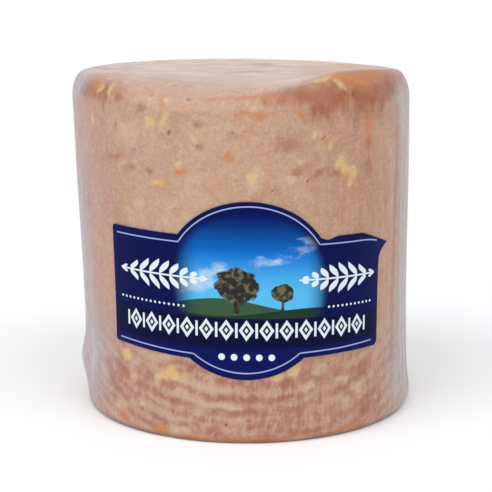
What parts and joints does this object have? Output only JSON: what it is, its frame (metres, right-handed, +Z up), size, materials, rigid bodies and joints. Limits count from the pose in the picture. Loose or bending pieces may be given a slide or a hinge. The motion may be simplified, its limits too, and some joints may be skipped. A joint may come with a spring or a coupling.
{
  "type": "smoked ham in clear film",
  "caption": "Round pressed smoked ham, cut to a half block, sealed in tight clear film with a printed label round its front.",
  "frame": {"origin": "middle of the flat base", "axes": "+Z up; the front, with the label, faces -Y; +X is to the right as seen from the front"},
  "size_m": [0.1632, 0.161, 0.1653],
  "materials": {
    "ham_meat": "moist cooked meat, beige pink, with yellow fat flecks and rows of reddish brown marks low down, under clear film",
    "clear_film": "clear shrunk film, glossy, slightly hazy and bluish where seen at a low angle",
    "label_print": "printed film label, navy blue with a pale line, a sky blue field and white ornaments"
  },
  "bodies": {
    "root": {"ham_pack": "ham_meat", "label": "label_print"}
  },
  "joints": []
}
